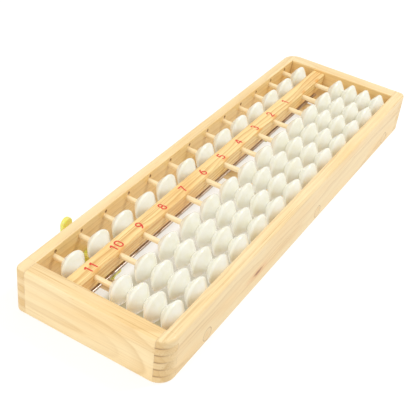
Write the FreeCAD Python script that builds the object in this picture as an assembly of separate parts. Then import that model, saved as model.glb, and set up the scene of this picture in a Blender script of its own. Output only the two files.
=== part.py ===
"""A wooden abacus: thirteen rods, each with one bead above the beam and four below, and a clearing button.

Lengths are in millimetres. +X runs along the rods' row from left to right, +Y from the user to the far rail,
and +Z up. The shapes are drawn round the middle of the frame's footprint and moved on export, so that the
origin is the middle of the whole footprint, button included.
"""

import FreeCAD, Part
import math
import os

from FreeCAD import Vector

# Driving dimensions
PITCH = 20.0                # rod to rod
RODS = 13
FRAME_LENGTH = 283.0
FRAME_WIDTH = 85.5
FRAME_HEIGHT = 26.4
END_THICKNESS = 9.0
RAIL_THICKNESS = 6.5
CORNER_RADII = {            # upright corners, sanded by hand, by their sides of X and Y
    (-1, -1): 8.5,
    (-1, 1): 4.0,
    (1, -1): 3.0,
    (1, 1): 9.0,
}
TOP_ROUND = 1.8             # outer top edge of the frame
INNER_ROUND = 0.9           # inner top edge of the frame
FOOT_ROUND = 1.0            # outer bottom edge of the frame
FINGERS = 6                 # layers of each corner's finger joint
JOINT_GAP = 0.08            # glue line between two boards

ROD_RADIUS = 1.45
ROD_HEIGHT = 21.5           # rod axis above the table
ROD_SOCKET = 4.0            # depth of a rod's hole in each rail
GLUED_CLEARANCE = 0.02      # radial, for rods, dowels and screws in wood
PEEP_RADIUS = 0.75          # small drilled relief above each rod in the top rail
PEEP_DEPTH = 2.5
PEEP_SHIFT = 1.1            # relief's axis from the rod's axis along X
PEEP_RISE = 2.5             # relief's axis above the rod's axis

BEAD_RADIUS = 8.16
BEAD_THICKNESS = 9.44
BEAD_BORE = 1.7
BEAD_FLANK_DEGREES = 38.5   # between the flank and the bead's mid plane
BEAD_RIM_ROUND = 1.2
BEAD_HUB_ROUND = 1.2
BEAD_GAP = 0.05             # between neighbours that touch
LOWER_BEADS = 4

BEAM_LOW_Y = 11.7
BEAM_WIDTH = 8.4
BEAM_BOTTOM = 15.6
BEAM_HEIGHT = 9.0
BEAM_CHAMFER = 0.5
TENON_LENGTH = 3.0
TENON_WIDTH = 5.0
TENON_HEIGHT = 5.0
TENON_CLEARANCE = 0.05

DOWEL_RADIUS = 3.5
DOWEL_HEIGHT = 5.4
DOWEL_X = (-105.5, 14.6, 114.7)

STRIP_WIDTH = 2.2
STRIP_THICKNESS = 1.0
STRIP_TOP = 13.2            # just under the beads
STRIP_END_GAP = 0.6
STRIP_CROWN = 0.85          # rounding of its upper edges
LOWER_ARM = 16.0            # lever pivot to the lower strip's pin
LOWER_TRAVEL = 9.95         # how far the lower strip clears
LEVER_X = -90.0
IDLER_X = 70.0
LEVER_TOP = 12.0
LEVER_THICKNESS = 1.6
LEVER_ARM_WIDTH = 3.2
PIN_RADIUS = 0.7
PIN_HEAD_RADIUS = 1.2
PIN_HEAD_HEIGHT = 0.6
RUNNING_CLEARANCE = 0.06    # radial, for pins in levers

SCREW_RADIUS = 0.9
SCREW_HEAD_RADIUS = 2.2
SCREW_HEAD_HEIGHT = 0.8
SCREW_SLOT_WIDTH = 0.6
SCREW_SLOT_DEPTH = 0.4
SCREW_BITE = 4.0            # length of screw in the beam
BUSH_RADIUS = 1.25

BUTTON_TRAVEL = 4.4
BUTTON_STAND_OFF = 4.6      # tab to the rail's outer face at rest
TAB_WIDTH = 7.4
TAB_THICKNESS = 2.4
TAB_BOTTOM = 1.6
TAB_TOP = 23.8
TAB_EDGE_ROUND = 0.7
TAB_FOOT_ROUND = 1.5
STEM_RADIUS = 2.3
STEM_SOCKET = 1.4           # stem's depth in the tab
PLUNGER_HEIGHT = 6.9        # plunger axis above the table
PLUNGER_WIDTH = 6.0
PLUNGER_THICKNESS = 4.0
PLUNGER_NOSE_Y = 15.2
PLUNGER_NOSE_ROUND = 1.5
PLUNGER_STOP_GAP = 0.1
PEG_RADIUS = 1.2
PEG_BOTTOM = 5.2
PEG_CLEARANCE = 0.06

SPRING_WIRE = 0.3           # wire radius
SPRING_RADIUS = 2.85        # mean radius of the coils
SPRING_TURNS = 4.5
SPRING_POCKET_RADIUS = 3.5
SPRING_POCKET_DEPTH = 3.0
SPRING_END_GAP = 0.05

MARGIN = 1.0                # how far a cutting shape runs past what it cuts
NEAR = 0.01                 # how close counts as on a plane
UPRIGHT = 0.5               # an edge whose direction rises more than this is an upright one

# Places worked out from the driving dimensions
HALF_LENGTH = FRAME_LENGTH / 2
HALF_WIDTH = FRAME_WIDTH / 2
INNER_X = HALF_LENGTH - END_THICKNESS
INNER_Y = HALF_WIDTH - RAIL_THICKNESS
ROD_X = [(i - (RODS - 1) / 2) * PITCH for i in range(RODS)]
BEAM_HIGH_Y = BEAM_LOW_Y + BEAM_WIDTH
BEAD_STEP = BEAD_THICKNESS + BEAD_GAP
LOWEST_BEAD_Y = -INNER_Y + BEAD_GAP + BEAD_THICKNESS / 2
UPPER_BEAD_Y = BEAM_HIGH_Y + BEAD_GAP + BEAD_THICKNESS / 2

LOWER_PIN_Y = BEAM_LOW_Y + STRIP_WIDTH / 2
UPPER_PIN_Y = BEAM_HIGH_Y - STRIP_WIDTH / 2
UPPER_TRAVEL = INNER_Y - BEAM_HIGH_Y - BEAD_THICKNESS
UPPER_ARM = LOWER_ARM * UPPER_TRAVEL / LOWER_TRAVEL
REST_SINE = (UPPER_PIN_Y - LOWER_PIN_Y) / (LOWER_ARM + UPPER_ARM)
REST_ANGLE = math.asin(REST_SINE)
SWING = math.asin(REST_SINE + LOWER_TRAVEL / LOWER_ARM) - REST_ANGLE
PIVOT_Y = LOWER_PIN_Y + LOWER_ARM * REST_SINE
PEG_ARM = BUTTON_TRAVEL / (2 * math.sin(SWING / 2))
PEG_X = LEVER_X - PEG_ARM * math.cos(SWING / 2)
PEG_Y = PIVOT_Y + PEG_ARM * math.sin(SWING / 2)
PEG_DRIFT = PEG_ARM * (1 - math.cos(SWING / 2))
BUTTON_X = PEG_X - PEG_DRIFT / 2
LEVER_BOTTOM = LEVER_TOP - LEVER_THICKNESS
SCREW_HEAD_TOP = LEVER_BOTTOM - RUNNING_CLEARANCE
TAB_Y = HALF_WIDTH + BUTTON_STAND_OFF
ORIGIN_SHIFT_Y = -(TAB_Y + TAB_THICKNESS - HALF_WIDTH) / 2

ALONG_X = Vector(1, 0, 0)
ALONG_Y = Vector(0, 1, 0)
ALONG_Z = Vector(0, 0, 1)


def box(low, high):
    """A box between two corners."""
    size = [b - a for a, b in zip(low, high)]
    return Part.makeBox(*size, Vector(*low))


def cylinder(radius, start, end):
    """A cylinder between two points."""
    start = Vector(*start)
    axis = Vector(*end) - start
    return Part.makeCylinder(radius, axis.Length, start, axis)


def edges_where(shape, test):
    """The edges whose every end passes a test."""
    return [e for e in shape.Edges if all(test(v.Point) for v in e.Vertexes)]


def upright_edges(shape):
    """The edges that run along Z."""
    return [e for e in shape.Edges if abs(e.tangentAt(e.FirstParameter).z) > UPRIGHT]


def save(node, shape):
    """Writes one node, moved so that the footprint's middle is the origin."""
    moved = shape.translated(Vector(0, ORIGIN_SHIFT_Y, 0))
    moved.exportStep(f"parts/{node}.step")


# The frame: four boards cut from one ring, so that their rounded edges meet

def frame_ring():
    """The whole frame's outline with its corners and edges rounded."""
    block = box((-HALF_LENGTH, -HALF_WIDTH, 0), (HALF_LENGTH, HALF_WIDTH, FRAME_HEIGHT))
    for side, radius in CORNER_RADII.items():
        block = block.makeFillet(radius, corner_edges(block, side))
    top = edges_where(block, lambda p: p.z > FRAME_HEIGHT - NEAR)
    block = block.makeFillet(TOP_ROUND, top)
    foot = edges_where(block, lambda p: p.z < NEAR)
    block = block.makeFillet(FOOT_ROUND, foot)
    low = (-INNER_X, -INNER_Y, -MARGIN)
    high = (INNER_X, INNER_Y, FRAME_HEIGHT + MARGIN)
    ring = block.cut(box(low, high))
    return ring.makeFillet(INNER_ROUND, edges_where(ring, is_inner_top))


def corner_edges(block, side):
    """The upright edges in one corner, given by its sides of X and Y."""
    middles = [(e, e.CenterOfMass) for e in upright_edges(block)]
    return [e for e, middle in middles if middle.x * side[0] > 0 and middle.y * side[1] > 0]


def is_inner_top(point):
    """Whether a point is on the inner top edge of the frame."""
    inside = abs(point.x) < INNER_X + NEAR and abs(point.y) < INNER_Y + NEAR
    return inside and point.z > FRAME_HEIGHT - NEAR


def finger_layers(rails):
    """(bottom, top) of each finger that belongs to the rails, or to the ends. The rails own the top one."""
    step = FRAME_HEIGHT / FINGERS
    first = FINGERS - 1 if rails else FINGERS - 2
    return [(n * step, (n + 1) * step) for n in range(first, -1, -2)]


def fingers(rails, side_x, side_y):
    """The corner blocks of one corner that one board owns, each cut back by half a glue line."""
    slack = JOINT_GAP / 2
    blocks = []
    for bottom, top in finger_layers(rails):
        low_z = bottom + slack if bottom > 0 else -MARGIN
        high_z = top - slack if top < FRAME_HEIGHT - NEAR else FRAME_HEIGHT + MARGIN
        inner_x = INNER_X - MARGIN if rails else INNER_X + slack
        inner_y = INNER_Y + slack if rails else INNER_Y - MARGIN
        near = (side_x * inner_x, side_y * inner_y)
        far = (side_x * (HALF_LENGTH + MARGIN), side_y * (HALF_WIDTH + MARGIN))
        low = [min(a, b) for a, b in zip(near, far)]
        high = [max(a, b) for a, b in zip(near, far)]
        blocks.append(box((*low, low_z), (*high, high_z)))
    return blocks


def rail(side):
    """A long board. Side is +1 for the top rail and -1 for the bottom rail."""
    slack = JOINT_GAP / 2
    near, far = sorted((side * INNER_Y, side * (HALF_WIDTH + MARGIN)))
    low = (-INNER_X + slack, near, -MARGIN)
    high = (INNER_X - slack, far, FRAME_HEIGHT + MARGIN)
    body = box(low, high)
    region = body.multiFuse(fingers(True, -1, side) + fingers(True, 1, side))
    return frame_ring().common(region).removeSplitter()


def end_board(side):
    """A short board. Side is -1 for the left end and +1 for the right end."""
    slack = JOINT_GAP / 2
    near, far = sorted((side * INNER_X, side * (HALF_LENGTH + MARGIN)))
    low = (near, -INNER_Y + slack, -MARGIN)
    high = (far, INNER_Y - slack, FRAME_HEIGHT + MARGIN)
    body = box(low, high)
    region = body.multiFuse(fingers(False, side, -1) + fingers(False, side, 1))
    return frame_ring().common(region).removeSplitter()


def rod_holes(radius, low_y, high_y):
    """Holes for all the rods between two depths."""
    return [cylinder(radius, (x, low_y, ROD_HEIGHT), (x, high_y, ROD_HEIGHT)) for x in ROD_X]


def dowel_holes(low_y, high_y):
    """Holes for the tie dowels between two depths."""
    radius = DOWEL_RADIUS + GLUED_CLEARANCE
    return [cylinder(radius, (x, low_y, DOWEL_HEIGHT), (x, high_y, DOWEL_HEIGHT)) for x in DOWEL_X]


def peep_holes():
    """The small relief drilled above each rod in the top rail."""
    z = ROD_HEIGHT + PEEP_RISE
    depth = INNER_Y + PEEP_DEPTH
    places = [x + PEEP_SHIFT for x in ROD_X]
    return [cylinder(PEEP_RADIUS, (x, INNER_Y - MARGIN, z), (x, depth, z)) for x in places]


def bottom_rail():
    depth = -INNER_Y - ROD_SOCKET
    holes = rod_holes(ROD_RADIUS + GLUED_CLEARANCE, depth, -INNER_Y + MARGIN)
    holes += dowel_holes(-HALF_WIDTH - MARGIN, -INNER_Y + MARGIN)
    return rail(-1).cut(holes)


def top_rail():
    depth = INNER_Y + ROD_SOCKET
    holes = rod_holes(ROD_RADIUS + GLUED_CLEARANCE, INNER_Y - MARGIN, depth)
    holes += dowel_holes(INNER_Y - MARGIN, HALF_WIDTH + MARGIN)
    holes += peep_holes()
    holes.append(stem_hole())
    holes.append(spring_pocket())
    return rail(1).cut(holes)


def stem_hole():
    """The guide hole for the button's stem, through the top rail."""
    start = (BUTTON_X, INNER_Y - MARGIN, PLUNGER_HEIGHT)
    end = (BUTTON_X, HALF_WIDTH + MARGIN, PLUNGER_HEIGHT)
    return cylinder(STEM_RADIUS + PEG_CLEARANCE, start, end)


def spring_pocket():
    """The counterbore in the top rail's outer face that seats the return spring."""
    start = (BUTTON_X, HALF_WIDTH - SPRING_POCKET_DEPTH, PLUNGER_HEIGHT)
    end = (BUTTON_X, HALF_WIDTH + MARGIN, PLUNGER_HEIGHT)
    return cylinder(SPRING_POCKET_RADIUS, start, end)


def tenon(side, clearance):
    """The beam's tenon at one end, or the mortise for it when clearance is added."""
    middle_y = BEAM_LOW_Y + BEAM_WIDTH / 2
    middle_z = BEAM_BOTTOM + BEAM_HEIGHT / 2
    half_y = TENON_WIDTH / 2 + clearance
    half_z = TENON_HEIGHT / 2 + clearance
    root = side * (INNER_X - MARGIN)
    tip = side * (INNER_X + TENON_LENGTH + clearance)
    low = (min(root, tip), middle_y - half_y, middle_z - half_z)
    high = (max(root, tip), middle_y + half_y, middle_z + half_z)
    return box(low, high)


def mortised_end(side):
    return end_board(side).cut(tenon(side, TENON_CLEARANCE))


def beam():
    """The bar that divides the rods, tenoned into the end boards and drilled for rods and pivot screws."""
    reach = INNER_X - TENON_CLEARANCE
    low = (-reach, BEAM_LOW_Y, BEAM_BOTTOM)
    high = (reach, BEAM_HIGH_Y, BEAM_BOTTOM + BEAM_HEIGHT)
    bar = box(low, high)
    long_edges = [e for e in bar.Edges if e.Length > FRAME_WIDTH]
    bar = bar.makeChamfer(BEAM_CHAMFER, long_edges)
    bar = bar.multiFuse([tenon(-1, 0), tenon(1, 0)]).removeSplitter()
    holes = rod_holes(ROD_RADIUS + GLUED_CLEARANCE, BEAM_LOW_Y - MARGIN, BEAM_HIGH_Y + MARGIN)
    for x in (LEVER_X, IDLER_X):
        start = (x, PIVOT_Y, BEAM_BOTTOM - MARGIN)
        tip = (x, PIVOT_Y, BEAM_BOTTOM + SCREW_BITE)
        holes.append(cylinder(SCREW_RADIUS + GLUED_CLEARANCE, start, tip))
    return bar.cut(holes)


def rods():
    reach = INNER_Y + ROD_SOCKET - GLUED_CLEARANCE
    return Part.makeCompound(rod_holes(ROD_RADIUS, -reach, reach))


def tie_dowels():
    """Three dowels that run under the beads from rail to rail, cut flush outside."""
    solids = []
    for x in DOWEL_X:
        start = (x, -HALF_WIDTH, DOWEL_HEIGHT)
        end = (x, HALF_WIDTH, DOWEL_HEIGHT)
        solids.append(cylinder(DOWEL_RADIUS, start, end))
    return Part.makeCompound(solids)


# The beads

def bead():
    """A bead round the Y axis: two cone flanks, a rounded rim and rounded hubs, with a bore."""
    slope = math.tan(math.radians(BEAD_FLANK_DEGREES))
    rim_offset = BEAD_RIM_ROUND * (1 / math.sin(math.radians(BEAD_FLANK_DEGREES)) - 1)
    apex = BEAD_RADIUS + rim_offset
    half = BEAD_THICKNESS / 2
    hub = apex - half / slope
    outline = [(BEAD_BORE, -half), (hub, -half), (apex, 0), (hub, half), (BEAD_BORE, half)]
    points = [Vector(r, y, 0) for r, y in outline]
    face = Part.Face(Part.makePolygon(points + points[:1]))
    solid = face.revolve(Vector(0, 0, 0), ALONG_Y, 360)
    rim = edges_where(solid, lambda p: abs(p.y) < NEAR)
    solid = solid.makeFillet(BEAD_RIM_ROUND, rim)
    hubs = edges_where(solid, lambda p: abs(p.y) > half - NEAR and abs(p.x) > BEAD_BORE + NEAR)
    return solid.makeFillet(BEAD_HUB_ROUND, hubs)


def bead_at(shape, rod_x, y):
    return shape.translated(Vector(rod_x, y, ROD_HEIGHT))


def save_beads():
    """One upper bead, one first lower bead and a train of the other lower beads on each rod."""
    shape = bead()
    first_y = LOWEST_BEAD_Y + (LOWER_BEADS - 1) * BEAD_STEP
    for number, x in enumerate(ROD_X, start=1):
        train = [bead_at(shape, x, LOWEST_BEAD_Y + n * BEAD_STEP) for n in range(LOWER_BEADS - 1)]
        save(f"upper_bead_{number:02d}", bead_at(shape, x, UPPER_BEAD_Y))
        save(f"first_lower_bead_{number:02d}", bead_at(shape, x, first_y))
        save(f"lower_beads_{number:02d}", Part.makeCompound(train))


# The clearing device under the beam

def pin_place(pivot_x, lower):
    """Where a strip's pin is at rest, for the lever or link that turns about pivot_x."""
    if lower:
        return pivot_x - LOWER_ARM * math.cos(REST_ANGLE), LOWER_PIN_Y
    return pivot_x + UPPER_ARM * math.cos(REST_ANGLE), UPPER_PIN_Y


def arm(start, end):
    """A flat arm with round ends between two points."""
    radius = LEVER_ARM_WIDTH / 2
    length = math.dist(start, end)
    turn = math.degrees(math.atan2(end[1] - start[1], end[0] - start[0]))
    bar = Part.makeBox(length, 2 * radius, LEVER_THICKNESS, Vector(0, -radius, 0))
    bar.rotate(Vector(0, 0, 0), ALONG_Z, turn)
    bar.translate(Vector(*start, LEVER_BOTTOM))
    ends = [cylinder(radius, (*p, LEVER_BOTTOM), (*p, LEVER_TOP)) for p in (start, end)]
    return bar.multiFuse(ends)


def link(pivot_x):
    """A straight link with a pivot hole and two pin holes."""
    pivot = (pivot_x, PIVOT_Y)
    lower = pin_place(pivot_x, True)
    upper = pin_place(pivot_x, False)
    body = arm(pivot, lower).fuse(arm(pivot, upper))
    return drilled_link(body, pivot, lower, upper)


def drilled_link(body, pivot, lower, upper):
    """The body with its three holes, for the pivot screw and the two strip pins."""
    holes = []
    for (x, y), radius in ((pivot, SCREW_RADIUS), (lower, PIN_RADIUS), (upper, PIN_RADIUS)):
        start = (x, y, LEVER_BOTTOM - MARGIN)
        end = (x, y, LEVER_TOP + MARGIN)
        holes.append(cylinder(radius + RUNNING_CLEARANCE, start, end))
    return body.removeSplitter().cut(holes)


def drive_lever():
    """The link that the button turns. Its peg hangs down into the plunger's slot."""
    pivot = (LEVER_X, PIVOT_Y)
    lower = pin_place(LEVER_X, True)
    upper = pin_place(LEVER_X, False)
    foot = arm(pivot, (PEG_X, PEG_Y))
    body = arm(pivot, lower).multiFuse([arm(pivot, upper), foot])
    peg = cylinder(PEG_RADIUS, (PEG_X, PEG_Y, PEG_BOTTOM), (PEG_X, PEG_Y, LEVER_TOP))
    return drilled_link(body.fuse(peg), pivot, lower, upper)


def strip(lower):
    """A clearing strip, with a hole for each of its two pins."""
    middle_y = LOWER_PIN_Y if lower else UPPER_PIN_Y
    arm_length = LOWER_ARM if lower else UPPER_ARM
    shift = arm_length * (math.cos(REST_ANGLE) - math.cos(REST_ANGLE + SWING))
    reach = INNER_X - STRIP_END_GAP
    low_x = -reach if lower else -reach + shift
    high_x = reach - shift if lower else reach
    low = (low_x, middle_y - STRIP_WIDTH / 2, STRIP_TOP - STRIP_THICKNESS)
    bar = box(low, (high_x, middle_y + STRIP_WIDTH / 2, STRIP_TOP))
    bar = bar.makeFillet(STRIP_CROWN, edges_where(bar, lambda p: p.z > STRIP_TOP - NEAR))
    return bar.cut([pin_shank(place, PIN_RADIUS + GLUED_CLEARANCE) for place in strip_pins(lower)])


def strip_pins(lower):
    return [pin_place(x, lower) for x in (LEVER_X, IDLER_X)]


def pin_shank(place, radius):
    """A pin's shank from the strip's top to the lever's underside."""
    return cylinder(radius, (*place, LEVER_BOTTOM - PIN_HEAD_HEIGHT), (*place, STRIP_TOP))


def pins(lower):
    """The rivets that join a strip to its two levers."""
    solids = []
    for place in strip_pins(lower):
        head_top = LEVER_BOTTOM - RUNNING_CLEARANCE
        head = cylinder(PIN_HEAD_RADIUS, (*place, head_top - PIN_HEAD_HEIGHT), (*place, head_top))
        solids.append(head.fuse(pin_shank(place, PIN_RADIUS)).removeSplitter())
    return Part.makeCompound(solids)


def pivot_screws():
    """Two slotted screws from below, one through the lever and one through the link, into the beam."""
    solids = []
    for x in (LEVER_X, IDLER_X):
        tip = BEAM_BOTTOM + SCREW_BITE - GLUED_CLEARANCE
        shank = cylinder(SCREW_RADIUS, (x, PIVOT_Y, SCREW_HEAD_TOP), (x, PIVOT_Y, tip))
        bottom = SCREW_HEAD_TOP - SCREW_HEAD_HEIGHT
        head = cylinder(SCREW_HEAD_RADIUS, (x, PIVOT_Y, bottom), (x, PIVOT_Y, SCREW_HEAD_TOP))
        solids.append(head.fuse(shank).removeSplitter().cut(screw_slot(x)))
    return Part.makeCompound(solids)


def screw_slot(x):
    """The screwdriver slot across the head of the screw at x."""
    bottom = SCREW_HEAD_TOP - SCREW_HEAD_HEIGHT
    reach = SCREW_HEAD_RADIUS + MARGIN
    half = SCREW_SLOT_WIDTH / 2
    low = (x - reach, PIVOT_Y - half, bottom - MARGIN)
    high = (x + reach, PIVOT_Y + half, bottom + SCREW_SLOT_DEPTH)
    return box(low, high)


def pivot_bushes():
    """The spacers that hold the lever and the link off the beam."""
    solids = []
    for x in (LEVER_X, IDLER_X):
        low = (x, PIVOT_Y, LEVER_TOP + RUNNING_CLEARANCE)
        high = (x, PIVOT_Y, BEAM_BOTTOM - GLUED_CLEARANCE)
        bush = cylinder(BUSH_RADIUS, low, high)
        solids.append(bush.cut(cylinder(SCREW_RADIUS + GLUED_CLEARANCE, low, high)))
    return Part.makeCompound(solids)


def button_tab():
    """The upright tab outside the top rail, round at the top, with a socket for the stem."""
    half = TAB_WIDTH / 2
    low = (BUTTON_X - half, TAB_Y, TAB_BOTTOM)
    slab = box(low, (BUTTON_X + half, TAB_Y + TAB_THICKNESS, TAB_TOP - half))
    crown_start = (BUTTON_X, TAB_Y, TAB_TOP - half)
    crown = cylinder(half, crown_start, (BUTTON_X, TAB_Y + TAB_THICKNESS, TAB_TOP - half))
    tab = slab.fuse(crown).removeSplitter()
    foot = [e for e in edges_where(tab, lambda p: p.z < TAB_BOTTOM + NEAR) if e.Length < half]
    tab = tab.makeFillet(TAB_FOOT_ROUND, foot)
    faces_y = (TAB_Y, TAB_Y + TAB_THICKNESS)
    rims = [e for y in faces_y for e in edges_where(tab, lambda p, y=y: abs(p.y - y) < NEAR)]
    tab = tab.makeFillet(TAB_EDGE_ROUND, rims)
    start = (BUTTON_X, TAB_Y - MARGIN, PLUNGER_HEIGHT)
    end = (BUTTON_X, TAB_Y + STEM_SOCKET, PLUNGER_HEIGHT)
    return tab.cut(cylinder(STEM_RADIUS + GLUED_CLEARANCE, start, end))


def button_plunger():
    """The flat bar under the beads and its round stem. The shoulder between them stops at the rail."""
    half = PLUNGER_WIDTH / 2
    shoulder = INNER_Y - PLUNGER_STOP_GAP
    low = (BUTTON_X - half, PLUNGER_NOSE_Y, PLUNGER_HEIGHT - PLUNGER_THICKNESS / 2)
    high = (BUTTON_X + half, shoulder, PLUNGER_HEIGHT + PLUNGER_THICKNESS / 2)
    bar = box(low, high)
    nose = [e for e in upright_edges(bar) if e.Vertexes[0].Point.y < PLUNGER_NOSE_Y + NEAR]
    bar = bar.makeFillet(PLUNGER_NOSE_ROUND, nose)
    stem_end = TAB_Y + STEM_SOCKET - GLUED_CLEARANCE
    start = (BUTTON_X, shoulder - MARGIN, PLUNGER_HEIGHT)
    stem = cylinder(STEM_RADIUS, start, (BUTTON_X, stem_end, PLUNGER_HEIGHT))
    return bar.fuse(stem).removeSplitter().cut(peg_slot())


def peg_slot():
    """The cross slot that the lever's peg works in, round at both ends."""
    radius = PEG_RADIUS + PEG_CLEARANCE
    drift = PEG_DRIFT / 2 + PEG_CLEARANCE
    low_z = PLUNGER_HEIGHT - PLUNGER_THICKNESS
    high_z = PLUNGER_HEIGHT + PLUNGER_THICKNESS
    middle = box((BUTTON_X - drift, PEG_Y - radius, low_z), (BUTTON_X + drift, PEG_Y + radius, high_z))
    ends = []
    for x in (BUTTON_X - drift, BUTTON_X + drift):
        ends.append(cylinder(radius, (x, PEG_Y, low_z), (x, PEG_Y, high_z)))
    return middle.multiFuse(ends)


def button_spring():
    """The coil spring round the stem, from the rail's pocket to the tab."""
    floor_y = HALF_WIDTH - SPRING_POCKET_DEPTH + SPRING_WIRE + SPRING_END_GAP
    length = TAB_Y - SPRING_WIRE - SPRING_END_GAP - floor_y
    path = Part.makeHelix(length / SPRING_TURNS, length, SPRING_RADIUS)
    start = Vector(SPRING_RADIUS, 0, 0)
    profile = Part.Wire(Part.makeCircle(SPRING_WIRE, start, ALONG_Y))
    coil = Part.Wire(path.Edges).makePipeShell([profile], True, True)
    coil.rotate(Vector(0, 0, 0), ALONG_X, -90)
    coil.translate(Vector(BUTTON_X, floor_y, PLUNGER_HEIGHT))
    return coil


NODES = {
    "top_rail": top_rail,
    "bottom_rail": bottom_rail,
    "left_end": lambda: mortised_end(-1),
    "right_end": lambda: mortised_end(1),
    "beam": beam,
    "rods": rods,
    "tie_dowels": tie_dowels,
    "pivot_screws": pivot_screws,
    "pivot_bushes": pivot_bushes,
    "drive_lever": drive_lever,
    "idler_link": lambda: link(IDLER_X),
    "lower_clearing_strip": lambda: strip(True),
    "upper_clearing_strip": lambda: strip(False),
    "lower_strip_pins": lambda: pins(True),
    "upper_strip_pins": lambda: pins(False),
    "button_tab": button_tab,
    "button_plunger": button_plunger,
    "button_spring": button_spring,
}

os.makedirs("parts", exist_ok=True)
for node, make in NODES.items():
    save(node, make())
save_beads()
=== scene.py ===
"""The looks of a thirteen-rod wooden abacus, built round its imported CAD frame.

The row frame is in metres. Materials work in millimetres, from each object's own coordinates, which are
the row frame's at rest. +X runs along the row of rods, +Y from the user to the far rail and +Z up.
"""

import math

import bmesh
import bpy
from mathutils import Matrix, Quaternion, Vector


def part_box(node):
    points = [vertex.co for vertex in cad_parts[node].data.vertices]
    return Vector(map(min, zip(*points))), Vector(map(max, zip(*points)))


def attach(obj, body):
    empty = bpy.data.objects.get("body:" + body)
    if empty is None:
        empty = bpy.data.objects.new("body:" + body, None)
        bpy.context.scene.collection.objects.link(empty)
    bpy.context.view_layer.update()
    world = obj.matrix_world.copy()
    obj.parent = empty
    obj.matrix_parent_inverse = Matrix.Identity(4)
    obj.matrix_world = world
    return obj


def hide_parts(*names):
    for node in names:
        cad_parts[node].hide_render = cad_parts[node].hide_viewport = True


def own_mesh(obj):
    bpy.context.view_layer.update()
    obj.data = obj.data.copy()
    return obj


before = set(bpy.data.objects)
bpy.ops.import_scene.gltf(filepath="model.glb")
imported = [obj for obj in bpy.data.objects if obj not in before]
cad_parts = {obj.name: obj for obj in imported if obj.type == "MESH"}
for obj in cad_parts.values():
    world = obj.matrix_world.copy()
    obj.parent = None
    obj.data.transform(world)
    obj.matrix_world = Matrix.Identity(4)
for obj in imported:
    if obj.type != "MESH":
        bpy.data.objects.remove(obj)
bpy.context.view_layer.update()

MM = 0.001
RODS = 13

# Places read from the frame
RAIL_LOW, RAIL_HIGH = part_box("top_rail")
FOOT_LOW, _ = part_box("bottom_rail")
_, LEFT_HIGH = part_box("left_end")
BEAM_LOW, BEAM_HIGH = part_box("beam")
MIDDLE_Y = (RAIL_HIGH.y + FOOT_LOW.y) / 2
HALF_WIDTH = (RAIL_HIGH.y - FOOT_LOW.y) / 2
INNER_Y = RAIL_LOW.y - MIDDLE_Y
INNER_X = -LEFT_HIGH.x
FRAME_HEIGHT = RAIL_HIGH.z
FINGERS = 6                      # layers of the corner joints

# Camera
CAMERA_PLACE = Vector((-0.3673, -0.1728, 0.2962))
CAMERA_HEADING = 63.05           # degrees from +Y towards +X
CAMERA_DIP = 36.94               # degrees below the horizon
CAMERA_ROLL = 7.05
CAMERA_LENS = 74.65              # mm, on a 36 mm sensor

# Colours, linear
PINE_PALE = (0.96, 0.76, 0.44)
PINE_WARM = (0.95, 0.68, 0.33)
PINE_LATE = (0.66, 0.41, 0.15)
BEAM_PALE = (0.96, 0.74, 0.34)
BEAM_WARM = (0.90, 0.55, 0.19)
BEAM_LATE = (0.66, 0.31, 0.07)
BEAM_BLUSH = (0.80, 0.36, 0.06)
KNOT_HALO = (0.84, 0.44, 0.17)
KNOT_BROWN = (0.36, 0.13, 0.035)
INNER_PAINTED_SHADE = (0.97, 0.88, 0.66)   # painted shade: a darker, warmer tint multiplied over the frame's inner faces
ROD_PALE = (0.97, 0.80, 0.50)
ROD_DARK = (0.78, 0.55, 0.25)
GLUE_AND_SHADE_BROWN = (0.34, 0.19, 0.07)   # darkens the wood: glue lines in the joints, and painted shade round the small holes above the rods
BEAD_WHITE = (0.765, 0.755, 0.675)
BEAD_CREAM = (0.725, 0.705, 0.575)
BEAD_PAINTED_GLOW = (1.0, 0.95, 0.78)    # painted light: a faint glow standing in for light through the plastic, lifting the beads' shaded sides
BEAD_PAINTED_GLOW_STRENGTH = 0.12
BEAD_SCATTER = (1.0, 0.95, 0.8)  # how far each colour of light passes through the plastic
YELLOW_SCATTER = (1.0, 0.8, 0.25)
INK_RED = (0.74, 0.05, 0.03)
PLASTIC_YELLOW = (0.97, 0.89, 0.24)
PLASTIC_OLIVE = (0.85, 0.83, 0.15)
# paler plastic on the sharp edges
PLASTIC_PALE_EDGE = (0.95, 0.88, 0.35)
# paler wood on the outer edges: partly rubbed wear, partly a painted highlight
EDGE_WEAR_AND_HIGHLIGHT = (1.0, 0.86, 0.6)
# steel tinted warm brown: a painted reflection of a brown tabletop
STEEL_BRIGHT_PAINTED_REFLECTION = (0.64, 0.55, 0.49)
STEEL_DULL_PAINTED_REFLECTION = (0.38, 0.29, 0.24)


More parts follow.
